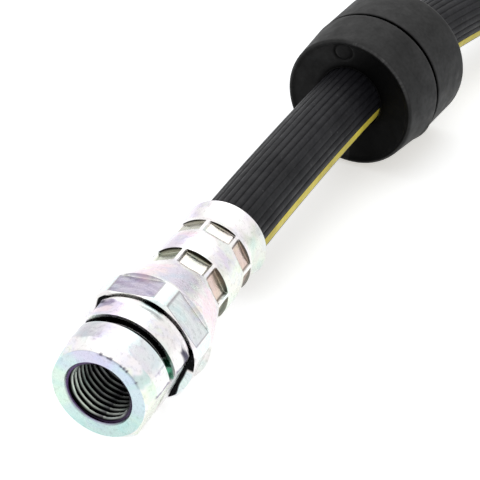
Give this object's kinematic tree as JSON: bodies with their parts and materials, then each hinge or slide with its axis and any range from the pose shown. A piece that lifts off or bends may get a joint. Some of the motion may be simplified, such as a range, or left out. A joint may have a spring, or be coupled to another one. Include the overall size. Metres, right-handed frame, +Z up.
{
  "type": "brake hose",
  "caption": "Ribbed rubber brake hose with a crimped female end fitting, a crimped male end fitting and a rubber support grommet.",
  "frame": {"origin": "on the surface the hose lies on, under the middle of the box round its fittings and grommet", "axes": "+X along the hose from the female end to the male end, +Z up"},
  "size_m": [0.3986, 0.052, 0.0242],
  "materials": {
    "zinc_plated_steel": "bright zinc plating with a faint iridescence",
    "insert_steel": "drawn",
    "hose_rubber": "satin, ribbed lengthwise, with one yellow stripe",
    "grommet_rubber": "matt moulded"
  },
  "bodies": {
    "root": {"female_end_fitting": "zinc_plated_steel", "female_end_insert": "insert_steel", "hose": "hose_rubber", "support_grommet": "grommet_rubber", "male_end_fitting": "zinc_plated_steel", "male_end_insert": "insert_steel"}
  },
  "joints": []
}
